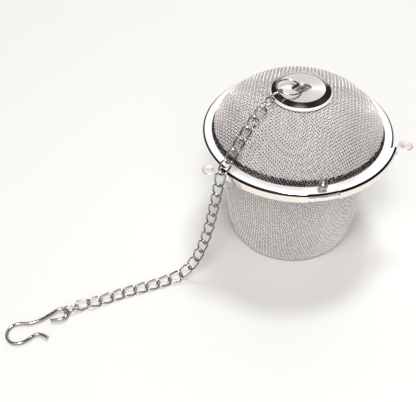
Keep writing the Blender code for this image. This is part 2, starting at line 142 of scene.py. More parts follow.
def mesh_from(name, points, quads, caps=(), smooth=True):
    """A mesh from a point array, a quad array, and a few end polygons."""
    mesh = bpy.data.meshes.new(name)
    loops = [np.asarray(quads, np.int32).ravel()] + [np.asarray(cap, np.int32) for cap in caps]
    corners = np.concatenate(loops)
    sizes = np.array([4] * len(quads) + [len(cap) for cap in caps], np.int32)
    starts = np.concatenate([[0], np.cumsum(sizes)[:-1]]).astype(np.int32)
    mesh.vertices.add(len(points))
    mesh.vertices.foreach_set("co", np.asarray(points, np.float32).ravel())
    mesh.loops.add(len(corners))
    mesh.loops.foreach_set("vertex_index", corners)
    mesh.polygons.add(len(sizes))
    mesh.polygons.foreach_set("loop_start", starts)
    mesh.polygons.foreach_set("loop_total", sizes)
    mesh.polygons.foreach_set("use_smooth", np.full(len(sizes), smooth))
    mesh.update(calc_edges=True)
    mesh.validate()
    return mesh


def mesh_of(name, shape):
    """A mesh from a bmesh, which is used up."""
    mesh = bpy.data.meshes.new(name)
    shape.to_mesh(mesh)
    shape.free()
    return mesh


def loose(name, mesh):
    """An object that is not a piece, or not yet."""
    item = bpy.data.objects.new(name, mesh)
    bpy.context.scene.collection.objects.link(item)
    return item


def piece(name, mesh, body, materials, replaces=(), sharp=None):
    """An object that rides on a body and stands for the CAD nodes it replaces."""
    item = loose(name, mesh)
    for material in materials:
        mesh.materials.append(MAT[material])
    if sharp is not None:
        smooth(mesh, sharp)
    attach(item, body)
    if replaces:
        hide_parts(*replaces)
    return item


def smooth(mesh, sharp):
    """Smooth shading, broken where faces meet at more than an angle in degrees."""
    mesh.shade_smooth()
    mesh.set_sharp_from_angle(angle=math.radians(sharp))


def paint(mesh, finish_or_shade_of):
    """Give every face the finish or painted shade that the given function names for it; None leaves a face as it
    is.
    """
    slots = {key: mesh.materials.find(material.name) for key, material in MAT.items()}
    for face in mesh.polygons:
        finish = finish_or_shade_of(face)
        if finish:
            face.material_index = slots[finish]


def units(vectors):
    return vectors / np.linalg.norm(vectors, axis=1)[:, None]


FLIPPED = [0, 3, 2, 1]


def ring_quads(rows, sides, count):
    """Quads between neighbouring rings of points, out of count rings; a last row may close on the first."""
    i = np.repeat(np.arange(rows), sides)
    j = np.tile(np.arange(sides), rows)
    after, beside = (i + 1) % count, (j + 1) % sides
    return np.stack([i * sides + j, after * sides + j, after * sides + beside, i * sides + beside], 1)


TIP_SHARE = 0.12
ASKEW = (0.31, 0.17, 0.93)


def rounded_ends(path, radius):
    """An open path with a half ball added at each end, and the wire's radius along it."""
    steps = np.radians([90.0, 60.0, 30.0])
    lead, tail = units(np.array([path[0] - path[1], path[-1] - path[-2]]))
    head = [path[0] + lead * radius * math.sin(a) for a in steps]
    foot = [path[-1] + tail * radius * math.sin(a) for a in steps[::-1]]
    ends = [radius * max(TIP_SHARE, math.cos(a)) for a in steps]
    return np.concatenate([head, path, foot]), np.concatenate([ends, np.full(len(path), radius), ends[::-1]])


def tube(path, radius, sides, closed=False):
    """Points, quads and caps of a round wire along a path; an open one gets rounded ends."""
    path = np.asarray(path, float)
    if closed:
        radii = np.full(len(path), radius)
        along = units(np.roll(path, -1, 0) - np.roll(path, 1, 0))
    else:
        path, radii = rounded_ends(path, radius)
        along = units(np.gradient(path, axis=0))
    side = np.cross(along[0], ASKEW)
    side /= np.linalg.norm(side)
    sides_of = [side]
    for direction in along[1:]:
        side = side - direction * (side @ direction)
        side /= np.linalg.norm(side)
        sides_of.append(side)
    across = np.array(sides_of)
    over = np.cross(along, across)
    count = len(path)
    slip = 0.0
    if closed:
        back = across[-1] - along[0] * (across[-1] @ along[0])
        slip = math.atan2(back @ over[0], back @ across[0])
    turn = np.linspace(0, 2 * np.pi, sides, endpoint=False)[None, :]
    turn = turn - (slip * np.arange(count) / count)[:, None]
    offset = across[:, None, :] * np.cos(turn)[..., None] + over[:, None, :] * np.sin(turn)[..., None]
    points = (path[:, None, :] + offset * radii[:, None, None]).reshape(-1, 3)
    quads = ring_quads(count if closed else count - 1, sides, count)[:, FLIPPED]
    caps = [] if closed else [np.arange(sides)[::-1], (count - 1) * sides + np.arange(sides)]
    return points, quads, caps


def lathe(profile, steps, closed=False):
    """A profile of (r, z) turned round Z. An open profile starts and ends on the axis."""
    profile = np.asarray(profile, float)
    if not closed and profile[0][1] > profile[-1][1]:
        profile = profile[::-1]
    inner = profile if closed else profile[1:-1]
    count = len(inner)
    points, caps = [], []
    for angle in np.linspace(0, 2 * np.pi, steps, endpoint=False):
        points += [(r * math.cos(angle), r * math.sin(angle), z) for r, z in inner]
    quads = ring_quads(steps, count, steps)
    if not closed:
        quads = quads[np.arange(len(quads)) % count < count - 1]
        foot = len(points)
        points += [(0, 0, profile[0][1]), (0, 0, profile[-1][1])]
        for step in range(steps):
            here, there = step * count, ((step + 1) % steps) * count
            caps.append((foot, there, here))
            caps.append((foot + 1, here + count - 1, there + count - 1))
    return np.array(points), quads, caps


def arc(centre, radius, start, end, count):
    """Points on a circle in the (r, z) plane, between two angles in degrees."""
    angles = np.radians(np.linspace(start, end, count))
    return [(centre[0] + radius * math.cos(a), centre[1] + radius * math.sin(a)) for a in angles]


def polar(radius, azimuth, height=0.0):
    """A point at an azimuth in degrees from the front, positive towards +X."""
    angle = math.radians(azimuth - 90.0)
    return Vector((radius * math.cos(angle), radius * math.sin(angle), height))


def azimuth_of(point):
    """How far round from the front a point lies, in degrees, positive towards +X."""
    return math.degrees(math.atan2(point.x, -point.y))


def outness(face):
    """How far from the axis a face's middle lies."""
    return face.center.xy.length


def catmull(points, spacing):
    """A smooth centripetal curve through the points."""
    knots = [Vector(p) for p in points]
    knots = [2 * knots[0] - knots[1], *knots, 2 * knots[-1] - knots[-2]]
    curve = []
    for a, b, c, d in zip(knots, knots[1:], knots[2:], knots[3:]):
        count = max(2, round((c - b).length / spacing))
        t1 = math.sqrt((b - a).length)
        t2 = t1 + math.sqrt((c - b).length)
        t3 = t2 + math.sqrt((d - c).length)
        for step in range(count):
            t = t1 + (t2 - t1) * step / count
            ab = a.lerp(b, t / t1)
            bc = b.lerp(c, (t - t1) / (t2 - t1))
            cd = c.lerp(d, (t - t2) / (t3 - t2))
            abc = ab.lerp(bc, t / t2)
            bcd = bc.lerp(cd, (t - t1) / (t3 - t1))
            curve.append(abc.lerp(bcd, (t - t1) / (t2 - t1)))
    curve.append(knots[-2])
    return curve


# ---------------------------------------------------------------- woven cloth

DOME_R, DOME_RISE, DOME_FULLNESS = 31.5 * MM, 17.75 * MM, 1.1
LID_BRIM_Z, LID_HEM_R = 48.0 * MM, 32.4 * MM
BASKET_BRIM_Z, BASKET_HEM_R = 46.7 * MM, 31.6 * MM
FOOT_R, TOP_R, FLARE, CORNER = 23.7 * MM, 29.9 * MM, 0.55 * MM, 3.4 * MM
FOOT_LIFT = 0.26 * MM
# Pitch and wire of each cloth, and how far its weave is turned from +X in degrees.
LID_PITCH, LID_WIRE, LID_TURN = 1.0 * MM, 0.27 * MM, -62.7
BASKET_PITCH, BASKET_WIRE, BASKET_TURN = 0.98 * MM, 0.35 * MM, -80.7
# Below this height the lid's cloth is painted near black as shade in the corner of its flange.
PAINTED_SHADE_BELOW = 50.8 * MM
PROFILE_STEP = 0.1 * MM
EDGE_MARGIN = 0.3
WIRE_SIDES = 6


def resample(profile):
    """Even points along an (r, z) profile: arc length, r, z and outward normals."""
    profile = np.asarray(profile, float)
    run = np.concatenate([[0], np.cumsum(np.linalg.norm(np.diff(profile, axis=0), axis=1))])
    s = np.linspace(0, run[-1], int(run[-1] / PROFILE_STEP) + 2)
    r = np.interp(s, run, profile[:, 0])
    z = np.interp(s, run, profile[:, 1])
    dr, dz = np.gradient(r, s), np.gradient(z, s)
    size = np.hypot(dr, dz)
    return s, r, z, -dz / size, dr / size


def dome_profile():
    angles = np.radians(np.linspace(90, 2, 120))
    dome = np.stack([DOME_R * np.cos(angles), LID_BRIM_Z + DOME_RISE * np.sin(angles) ** DOME_FULLNESS], 1)
    return resample(np.concatenate([dome, [(DOME_R + 0.3 * MM, LID_BRIM_Z), (LID_HEM_R, LID_BRIM_Z)]]))


def basket_profile():
    points = [(0.0, FOOT_LIFT)]
    points += arc((FOOT_R - CORNER, FOOT_LIFT + CORNER), CORNER, -90, -6, 12)
    for share in np.linspace(0.12, 0.985, 30):
        radius = FOOT_R + (TOP_R - FLARE - FOOT_R) * share + FLARE * share**4
        points.append((radius, BASKET_BRIM_Z * share))
    points += [(TOP_R + 0.4 * MM, BASKET_BRIM_Z - 0.1 * MM), (BASKET_HEM_R, BASKET_BRIM_Z)]
    s, r, z, nr, nz = resample(points)
    return s, r, z, -nr, -nz


def flat_radius(profile):
    """Radius in the flat blank for each point: deep drawing keeps the area inside each ring."""
    s, r = profile[0], profile[1]
    area = np.concatenate([[0], np.cumsum((r[1:] + r[:-1]) * np.diff(s))])
    return np.sqrt(area)


def pressed_wire(u, v, second, high, profile, flat, turn, wire):
    """Points of one wire: places (u, v) of the flat cloth pressed onto the profile, over or under."""
    s, r, z, nr, nz = profile
    x, y = (v, u) if second else (u, v)
    angle = np.arctan2(y, x) + turn
    at = np.interp(np.hypot(x, y), flat, s)
    rr, zz = np.interp(at, s, r), np.interp(at, s, z)
    n_r, n_z = np.interp(at, s, nr), np.interp(at, s, nz)
    normal = np.stack([n_r * np.cos(angle), n_r * np.sin(angle), n_z], 1)
    lift = np.where(high, 0.5, -0.5) * wire
    centre = np.stack([rr * np.cos(angle), rr * np.sin(angle), zz], 1) + normal * lift[:, None]
    along = units(np.gradient(centre, axis=0))
    across = units(np.cross(along, normal))
    up = np.cross(across, along)
    circle = np.linspace(0, 2 * np.pi, WIRE_SIDES, endpoint=False)[None, :, None]
    ring = across[:, None, :] * np.cos(circle) + up[:, None, :] * np.sin(circle)
    return (centre[:, None, :] + ring * wire / 2).reshape(-1, 3)


def weave_family(profile, pitch, wire, turn, second):
    """One family of the cloth's wires: flat rows at one pitch, pressed onto a turned profile."""
    flat = flat_radius(profile)
    reach = flat[-1]
    points, quads, caps = [], [], []
    base = 0
    count = int(reach / pitch) + 1
    for row in range(-count, count + 1):
        v = (row + 0.5) * pitch
        if abs(v) > reach - EDGE_MARGIN * pitch:
            continue
        half = math.sqrt(reach**2 - v**2)
        last = int(half / pitch) + 1
        crossing = np.arange(-last, last + 1)
        u = np.sort(np.concatenate([(crossing + 0.25) * pitch, (crossing + 0.75) * pitch]))
        u = u[np.abs(u) < half]
        if len(u) < 3:
            continue
        high = (np.floor(u / pitch).astype(int) + row + second) % 2 == 0
        points.append(pressed_wire(u, np.full_like(u, v), second, high, profile, flat, turn, wire))
        quads.append(base + ring_quads(len(u) - 1, WIRE_SIDES, len(u)))
        end = base + (len(u) - 1) * WIRE_SIDES
        caps += [base + np.arange(WIRE_SIDES), end + np.arange(WIRE_SIDES)[::-1]]
        base += len(u) * WIRE_SIDES
    return points, quads, caps


def cloth(name, body, node, profile, pitch, wire, turn, parts, finishes_and_shade, foot=-1.0):
    """Both families of wires, each cut into a few pieces of neighbouring rows.

    The finishes are for the outside, the painted shade on the wires' inner halves and, if there is a third, the
    painted shade on all that lies below foot.
    """
    for second in (False, True):
        points, quads, caps = weave_family(profile, pitch, wire, math.radians(turn), second)
        rows = len(points)
        for part in range(parts):
            low, high = rows * part // parts, rows * (part + 1) // parts
            start = sum(len(p) for p in points[:low])
            chosen = np.concatenate(quads[low:high]) - start
            ends = [cap - start for cap in caps[2 * low:2 * high]]
            label = f"{name}_{'weft' if second else 'warp'}_{part + 1}"
            mesh = mesh_from(label, np.concatenate(points[low:high]), chosen, ends)
            piece(label, mesh, body, finishes_and_shade, [node])
            faces = len(mesh.polygons)
            finish_or_shade_of = np.zeros(faces, np.int32)
            # The inner half of every wire takes the second finish, its painted shade.
            finish_or_shade_of[:len(chosen)] = np.arange(len(chosen)) % WIRE_SIDES >= WIRE_SIDES // 2
            centres = np.zeros(faces * 3, np.float32)
            mesh.polygons.foreach_get("center", centres)
            # Faces below foot take the third finish, painted shade.
            finish_or_shade_of[centres[2::3] < foot] = 2
            mesh.polygons.foreach_set("material_index", finish_or_shade_of)


def make_cloth():
    cloth("lid_cloth", "lid", "lid_mesh", dome_profile(), LID_PITCH, LID_WIRE, LID_TURN, 1,
          ["cloth", "lid_inside", "cloth_foot"], PAINTED_SHADE_BELOW)
    cloth("basket_cloth", "basket", "basket_mesh", basket_profile(), BASKET_PITCH, BASKET_WIRE, BASKET_TURN, 2,
          ["basket_cloth", "basket_inside"])


# ---------------------------------------------------------------- cut and folded sheet


def block(r_in, r_out, z_low, z_high):
    """A rectangular (r, z) section."""
    return (r_in, z_low), (r_out, z_low), (r_out, z_high), (r_in, z_high)


def folded_section(outer, low_in, top_in, foot, height, leaf, reach=1.0):
    """A folded sheet: a round nose outside, stretched by reach, and two leaves inwards."""
    nose = height / 2
    middle = foot + nose
    centre = outer - nose * reach

    def turned(radius, start, end, count):
        return [(centre + (r - centre) * reach, z) for r, z in arc((centre, middle), radius, start, end, count)]

    points = [(low_in, foot + leaf), (low_in, foot), *turned(nose, -90, 90, 15)]
    points += [(top_in, foot + height), (top_in, foot + height - leaf)]
    points += turned(nose - leaf, 90, -90, 11)
    return points


def swept(name, section, azimuths):
    """A closed (r, z) section swept between azimuths; an azimuth may be a function of radius."""
    count, stops = len(section), len(azimuths)
    points = [polar(r, azimuth(r) if callable(azimuth) else azimuth, z)[:]
              for azimuth in azimuths for r, z in section]
    caps = [np.arange(count)[::-1], (stops - 1) * count + np.arange(count)]
    mesh = mesh_from(name, np.array(points), ring_quads(stops - 1, count, stops), caps, smooth=False)
    shape = bmesh.new()
    shape.from_mesh(mesh)
    bmesh.ops.recalc_face_normals(shape, faces=shape.faces)
    shape.to_mesh(mesh)
    shape.free()
    return mesh


def box(name, size, place):
    """A loose box of a size, at a placement."""
    shape = bmesh.new()
    bmesh.ops.create_cube(shape, size=1.0, matrix=place @ Matrix.Diagonal((*size, 1.0)))
    return loose(name, mesh_of(name, shape))


def bool_cut(item, cutters, operation="DIFFERENCE"):
    """Cut loose objects out of a piece, or join them to it; they are used up."""
    for cutter in cutters:
        step = item.modifiers.new(cutter.name, "BOOLEAN")
        step.operation = operation
        step.object = cutter
        step.solver = "EXACT"
    bpy.context.view_layer.update()
    evaluated = item.evaluated_get(bpy.context.evaluated_depsgraph_get())
    mesh = bpy.data.meshes.new_from_object(evaluated)
    item.modifiers.clear()
    old = item.data
    item.data = mesh
    bpy.data.meshes.remove(old)
    for cutter in cutters:
        bpy.data.objects.remove(cutter)


WELD = 0.004 * MM
BEVEL_ABOVE, SHARP_ABOVE = 40.0, 35.0


def soften(item, bevel=0.0, sharp=SHARP_ABOVE):
    """Softened edges on a cut sheet piece, and smooth shading between the sharp ones."""
    if bevel:
        shape = bmesh.new()
        shape.from_mesh(item.data)
        bmesh.ops.remove_doubles(shape, verts=shape.verts, dist=WELD)
        limit = math.radians(BEVEL_ABOVE)
        edges = [e for e in shape.edges if len(e.link_faces) == 2 and e.calc_face_angle() > limit]
        bmesh.ops.bevel(shape, geom=edges, offset=bevel, segments=2, profile=0.6, affect="EDGES",
                        clamp_overlap=True)
        shape.to_mesh(item.data)
        shape.free()
    smooth(item.data, sharp)


# ---------------------------------------------------------------- rims and lock band

LEVEL = 0.985
RIM_STEPS = 240
NOSE_FROM_R, NOSE_BELOW = 34.0 * MM, 0.9
NOTCH_HALF, NOTCH = 3.5, block(33.3 * MM, 38 * MM, 44 * MM, 49 * MM)
FRONT_Y = -32.5 * MM
LIPS = (-50.0, -26.0, 26.0, 50.0)
BAND_HALF, BAND_INNER_HALF = 62.8, 56.5
PLATE_R, BAND_R, SKIRT_R = 32.9 * MM, 36.7 * MM, 36.3 * MM
BAND_TOP, BAND_FOOT, PLATE = 48.95 * MM, 45.65 * MM, 0.3 * MM
CROWN, INNER_BEND = 0.95 * MM, 0.55 * MM
LIP_HALF, LIP = 2.7, block(33.7 * MM, 36.5 * MM, BAND_FOOT + 0.02 * MM, BAND_FOOT + 0.3 * MM)
WINDOW_HALF, CUT_R, STRIP_TOP = 8.85, 35.7 * MM, 47.1 * MM
WINDOW = block(CUT_R, 38 * MM, STRIP_TOP, 50 * MM)
TRIM = block(36.15 * MM, 38 * MM, 44 * MM, 46 * MM)
RECESS_HALF, RECESS = 9.9, block(32 * MM, 35.3 * MM, 47.45 * MM, 50 * MM)
INWARD_FROM_R, BEND_FROM_R, CUT_DEPTH = 35.4 * MM, SKIRT_R - 0.4 * MM, 0.12 * MM
# How far up a face looks, as the height of its unit normal: upright walls, skirt, and the bend between.
UPRIGHT, INWARD, SKIRT_UPRIGHT, BEND_LOW, BEND_HIGH = 0.3, 0.3, 0.2, 0.15, 0.93
EDGE_ROUND = 0.05 * MM


def flange_finish_and_shade(face):
    """The level top is satin, and the nose that turns down outside it is painted dark as shade."""
    if face.normal.z > LEVEL:
        return "plate"
    if face.normal.z < NOSE_BELOW and outness(face) > NOSE_FROM_R:
        return "shade"
    return None


def make_rims():
    lid = folded_section(outer=35.2 * MM, low_in=31.2 * MM, top_in=32.0 * MM, foot=47.45 * MM,
                         height=1.1 * MM, leaf=0.25 * MM, reach=2.2)
    mesh = mesh_from("lid_flange", *lathe(lid, RIM_STEPS, closed=True))
    piece("lid_flange", mesh, "lid", ["rim", "plate", "shade"], ["lid_rim"], sharp=40)
    paint(mesh, flange_finish_and_shade)
    low = folded_section(outer=34.7 * MM, low_in=30.9 * MM, top_in=30.1 * MM, foot=46.1 * MM,
                         height=1.2 * MM, leaf=0.3 * MM)
    mesh = mesh_from("basket_flange", *lathe(low, RIM_STEPS, closed=True))
    item = piece("basket_flange", mesh, "basket", ["rim", "shade"], ["basket_rim"])
    bool_cut(item, [loose("cut", swept("cut", NOTCH, [azimuth - NOTCH_HALF, azimuth, azimuth + NOTCH_HALF]))
                    for azimuth in LIPS])
    soften(item)
    # Painted shade: the faces at the front of the basket's flange, seen through the band's window, are near
    # black.
    paint(item.data, lambda face: "shade" if face.center.y < FRONT_Y else None)


def band_finish_and_shade(face):
    """Inner walls and the bend painted dark as shade, a skirt tinted cream as painted warm light, a cut wall at
    the window painted bright as light, and a satin top.
    """
    out, up = outness(face), face.normal.z
    outward = face.normal.xy.dot(face.center.xy.normalized())
    if abs(up) < UPRIGHT and outward < INWARD and out > INWARD_FROM_R:
        return "shade"
    if abs(up) < SKIRT_UPRIGHT and out > SKIRT_R:
        return "skirt"
    if BEND_LOW < up < BEND_HIGH and out > BEND_FROM_R:
        return "shade"
    if abs(out - CUT_R) < CUT_DEPTH and abs(azimuth_of(face.center)) < WINDOW_HALF:
        return "cut"
    return "plate" if up > LEVEL else None


def make_band():
    section = [(PLATE_R, BAND_TOP - PLATE), (SKIRT_R - INNER_BEND, BAND_TOP - PLATE),
               (SKIRT_R, BAND_TOP - PLATE - INNER_BEND), (SKIRT_R, BAND_FOOT), (BAND_R, BAND_FOOT)]
    section += arc((BAND_R - CROWN, BAND_TOP - CROWN), CROWN, 0, 90, 13)
    section += [(PLATE_R, BAND_TOP)]
    grow = (BAND_HALF - BAND_INNER_HALF) / (BAND_R - PLATE_R)

    def at(share):
        return lambda r: share * (BAND_INNER_HALF + (r - PLATE_R) * grow)

    item = piece("lock_band_channel", swept("band", section, [at(s) for s in np.linspace(-1, 1, 121)]),
                 "lock_band", ["band", "plate", "skirt", "shade", "cut"], ["lock_band"])
    bool_cut(item, [loose("lip", swept("lip", LIP, np.linspace(azimuth - LIP_HALF, azimuth + LIP_HALF, 5)))
                    for azimuth in LIPS], "UNION")
    openings = (("window", WINDOW, WINDOW_HALF), ("trim", TRIM, WINDOW_HALF), ("recess", RECESS, RECESS_HALF))
    bool_cut(item, [loose(name, swept(name, cut, np.linspace(-half, half, 17))) for name, cut, half in openings])
    soften(item, bevel=EDGE_ROUND)
    paint(item.data, band_finish_and_shade)


# ---------------------------------------------------------------- tabs, ball, cap

TAB_R, TAB_HALF, TAB_Z = 2.7 * MM, 0.225 * MM, 47.9 * MM
TAB_AT_R, TAB_AZIMUTH = 39.6 * MM, 66.0
TAB_FLAT_R, TAB_STEP_R, TAB_FLAT_HALF = 1.7 * MM, 2.1 * MM, TAB_HALF * 0.55
TAB_FOOT_R = BAND_R + 0.12 * MM
NECK = (TAB_FOOT_R + 1.06 * MM, 62.6, TAB_Z, (2.0 * MM, 4.4 * MM, 0.41 * MM))
WELD_FOOT = (TAB_FOOT_R + TAB_HALF, 61.2, TAB_Z + TAB_HALF - 1.03 * MM, (0.45 * MM, 2.6 * MM, 2.0 * MM))
BALL_R, BALL_AT, STEM_R = 1.8 * MM, (0, -33.7 * MM, 50.45 * MM), 0.6 * MM
CAP_TOP, CAP_FOOT, CAP_SHEET, DISH_R = 67.2 * MM, 65.2 * MM, 0.4 * MM, 8.6 * MM
CAP_R, CAP_INNER_R, CAP_HEM, CAP_FOOT_FROM_R = 11.3 * MM, 11.0 * MM, 0.15 * MM, 10.75 * MM
DISH_MARGIN, DISH_LEVEL, DISH_DEPTH = 0.05 * MM, 0.97, 0.2 * MM
LINE_WIDTH, LINE_LEVEL, SHOULDER_LEVEL = 0.36 * MM, 0.8, 0.84
OPENING, OPENING_DROP = (6.9 * MM, 2.1 * MM, 3.0 * MM), 0.2 * MM
BRIDGE_SPAN, BRIDGE_RISE, BRIDGE_THICK, BRIDGE_WIDTH = 7.5 * MM, 1.95 * MM, 0.35 * MM, 1.8 * MM
BRIDGE_FOOT = CAP_TOP - 0.23 * MM


def make_tab(name, side):
    """A pressed disc with a rolled edge, a neck, and a foot spot-welded to the band."""
    rolled = TAB_R - TAB_HALF
    disc = [(0.0, TAB_FLAT_HALF), (TAB_FLAT_R, TAB_FLAT_HALF), (TAB_STEP_R, TAB_HALF), (rolled, TAB_HALF)]
    disc += arc((rolled, 0.0), TAB_HALF, 60, -60, 5)
    disc += [(rolled, -TAB_HALF), (TAB_STEP_R, -TAB_HALF), (TAB_FLAT_R, -TAB_FLAT_HALF), (0.0, -TAB_FLAT_HALF)]
    points, quads, caps = lathe(disc, 64)
    mesh = mesh_from(name, points + np.array(polar(TAB_AT_R, side * TAB_AZIMUTH, TAB_Z)), quads, caps)
    item = piece(name + "_pressing", mesh, "lock_band", ["tab"], [name])
    extras = []
    for radius, azimuth, z, size in (NECK, WELD_FOOT):
        place = Matrix.Translation(polar(radius, side * azimuth, z))
        place = place @ Matrix.Rotation(math.radians(side * azimuth - 90.0), 4, "Z")
        extras.append(box("extra", size, place))
    bool_cut(item, extras, "UNION")
    soften(item, bevel=0.06 * MM)


def make_ball():
    """The stop ball with its short stem, riveted in the flange."""
    profile = [(0.0, BALL_R)] + [(BALL_R * math.sin(a), BALL_R * math.cos(a))
                                 for a in np.radians(np.arange(6, 160, 6))]
    foot = LID_BRIM_Z - BALL_AT[2]
    profile += [(STEM_R, -BALL_R * 0.95), (STEM_R, foot), (0.0, foot)]
    points, quads, caps = lathe(profile, 56)
    mesh = mesh_from("stop_ball_polished", points + np.array(BALL_AT), quads, caps)
    piece("stop_ball_polished", mesh, "lid", ["ball"], ["stop_ball"], sharp=50)


def cap_finish_and_shade(face):
    """A brushed dish, a line of painted shade where the shoulder starts, and a foot below the shoulder painted
    pale as light.
    """
    out, up = outness(face), face.normal.z
    if up > DISH_LEVEL and out < DISH_R + DISH_MARGIN and face.center.z > CAP_TOP - DISH_DEPTH:
        return "cap_top"
    if DISH_R < out < DISH_R + LINE_WIDTH and up > LINE_LEVEL:
        return "shade"
    return "cap_foot" if out > CAP_FOOT_FROM_R and up < SHOULDER_LEVEL else None


def make_cap():
    """Polished cap: dished top, round shoulder, steep wall and a flat foot."""
    outer = [(0.0, CAP_TOP - 0.08 * MM), (3.0 * MM, CAP_TOP - 0.07 * MM), (6.5 * MM, CAP_TOP - 0.03 * MM),
             (DISH_R, CAP_TOP)]
    outer += arc((8.7 * MM, CAP_TOP - 0.4 * MM), 0.4 * MM, 86, 59, 5)
    outer += arc((10.6 * MM, CAP_TOP - 1.37 * MM), 0.35 * MM, 59, 20, 6)
    outer += [(CAP_R, CAP_FOOT + CAP_HEM), (CAP_R, CAP_FOOT)]
    inner = [(CAP_INNER_R, CAP_FOOT), (10.9 * MM, CAP_TOP - 1.6 * MM), (DISH_R, CAP_TOP - CAP_SHEET),
             (0.0, CAP_TOP - 0.1 * MM - CAP_SHEET)]
    mesh = mesh_from("lid_cap_polished", *lathe(outer + inner, 200))
    item = piece("lid_cap_polished", mesh, "lid", ["cap", "cap_top", "cap_foot", "shade"],
                 ["lid_cap"])
    paint(mesh, cap_finish_and_shade)
    bool_cut(item, [box("opening", OPENING, Matrix.Translation((0, 0, CAP_TOP - OPENING_DROP)))])
    soften(item, sharp=45)
    make_bridge()


def make_bridge():
    """The strap lanced out of the cap's top, which the ring runs under."""
    over, under = [], []
    for across in np.linspace(-1, 1, 41):
        height = BRIDGE_RISE * (1 - abs(across) ** 1.5)
        over.append((across * BRIDGE_SPAN / 2, height))
        under.append((across * (BRIDGE_SPAN / 2 - BRIDGE_THICK), height - BRIDGE_THICK))
    strap = bmesh.new()
    corners = [strap.verts.new((x, -BRIDGE_WIDTH / 2, BRIDGE_FOOT + z)) for x, z in over + under[::-1]]
    grown = bmesh.ops.extrude_face_region(strap, geom=[strap.faces.new(corners)])
    bmesh.ops.translate(strap, verts=[v for v in grown["geom"] if isinstance(v, bmesh.types.BMVert)],
                        vec=(0, BRIDGE_WIDTH, 0))
    bmesh.ops.recalc_face_normals(strap, faces=strap.faces)
    item = piece("cap_bridge", mesh_of("cap_bridge", strap), "lid", ["rim"])
    soften(item, bevel=EDGE_ROUND)


# ---------------------------------------------------------------- ring, chain, hook

RING_AT, RING_R = Vector((-4.8 * MM, -0.3 * MM, 68.175 * MM)), 4.5 * MM
RING_TILT, RING_WIRE, RING_STEPS = 0.475 * MM, 0.6 * MM, 96
# The chain's course from the ring over the lid's edge down to the table and along it to the hook.
ROUTE = (
    (-8.35, -2.3, 68.75), (-12.1, -4.8, 67.5), (-15.8, -7.3, 65.3), (-19.0, -9.6, 63.2),
    (-22.2, -11.9, 60.4), (-25.2, -14.1, 57.2), (-28.2, -16.4, 54.0), (-31.3, -18.9, 51.3),
    (-33.5, -20.9, 48.0), (-34.3, -21.6, 43.0), (-35.6, -22.0, 36.0), (-37.1, -22.3, 28.0),
    (-39.0, -22.6, 20.0), (-41.5, -22.8, 12.5), (-45.0, -23.2, 6.0), (-49.5, -23.8, 2.5),
    (-55.3, -24.6, 1.4), (-61.0, -25.7, 1.2), (-66.6, -26.5, 1.2), (-72.1, -27.6, 1.2),
    (-77.0, -28.9, 1.2), (-82.0, -30.0, 1.4), (-87.5, -31.2, 2.25), (-93.6, -33.2, 2.4),
)
LINKS, PITCH, WIDTH, LINK_WIRE, SLACK, TWIST = 29, 4.57 * MM, 4.2 * MM, 0.68 * MM, 0.18 * MM, 30.0
LINK_STEPS, SEARCH_STEPS = 44, 30
RING_SIDES, LINK_SIDES, HOOK_SIDES = 14, 12, 20
ROUTE_STEP, HOOK_STEP = 0.1 * MM, 0.25 * MM
# How far links are rolled about the chain: link number and degrees, even in between.
ROLL = ((1, 62.0), (2, 28.0), (3, 0.0), (7, 0.0), (12, -38.0), (18, -38.0), (22, -14.0), (27, -14.0),
        (28, -55.0), (29, -98.0))
# The hook's wire in plan, from the end of its closed eye round to its open end.
HOOK = (
    (-98.4, -35.6), (-95.6, -36.0), (-93.3, -35.3), (-92.1, -33.3), (-93.3, -31.5), (-95.9, -31.4),
    (-99.0, -32.9), (-102.7, -34.7), (-106.4, -35.3), (-110.0, -34.7), (-112.4, -35.2),
    (-114.2, -37.0), (-114.8, -39.4), (-114.0, -41.8), (-112.2, -43.3), (-109.8, -43.5),
    (-107.3, -42.5), (-105.0, -41.2), (-103.2, -41.0), (-101.6, -41.9), (-100.4, -43.0),
)
HOOK_EYE_X, HOOK_FLAT_X = HOOK[3][0], HOOK[-9][0]
HOOK_EYE_Z, HOOK_FLAT_Z, HOOK_RISE, HOOK_WIRE = 1.75, 0.62, 1.5, 1.1 * MM


def make_ring():
    path = []
    for step in range(RING_STEPS):
        angle = 2 * math.pi * step / RING_STEPS
        path.append(RING_AT + Vector((RING_R * math.cos(angle), RING_R * math.sin(angle),
                                      -RING_TILT * math.cos(angle))))
    mesh = mesh_from("ring", *tube(path, RING_WIRE / 2, RING_SIDES, closed=True))
    piece("cap_ring_wire", mesh, "cap_ring", ["wire"], ["cap_ring"])


def chain_joints():
    """Points one pitch apart along the chain's course, where each link takes over from the last."""
    curve = catmull([Vector(p) * MM for p in ROUTE], ROUTE_STEP)
    found = [curve[0]]
    for start, end in zip(curve, curve[1:]):
        while (end - found[-1]).length >= PITCH and len(found) <= LINKS:
            low, high = 0.0, 1.0
            for _ in range(SEARCH_STEPS):
                middle = (low + high) / 2
                if (start.lerp(end, middle) - found[-1]).length < PITCH:
                    low = middle
                else:
                    high = middle
            found.append(start.lerp(end, high))
    return found


def roll_of(link):
    for (first, start), (last, end) in zip(ROLL, ROLL[1:]):
        if first <= link <= last:
            return start + (end - start) * (link - first) / (last - first)
    return 0.0


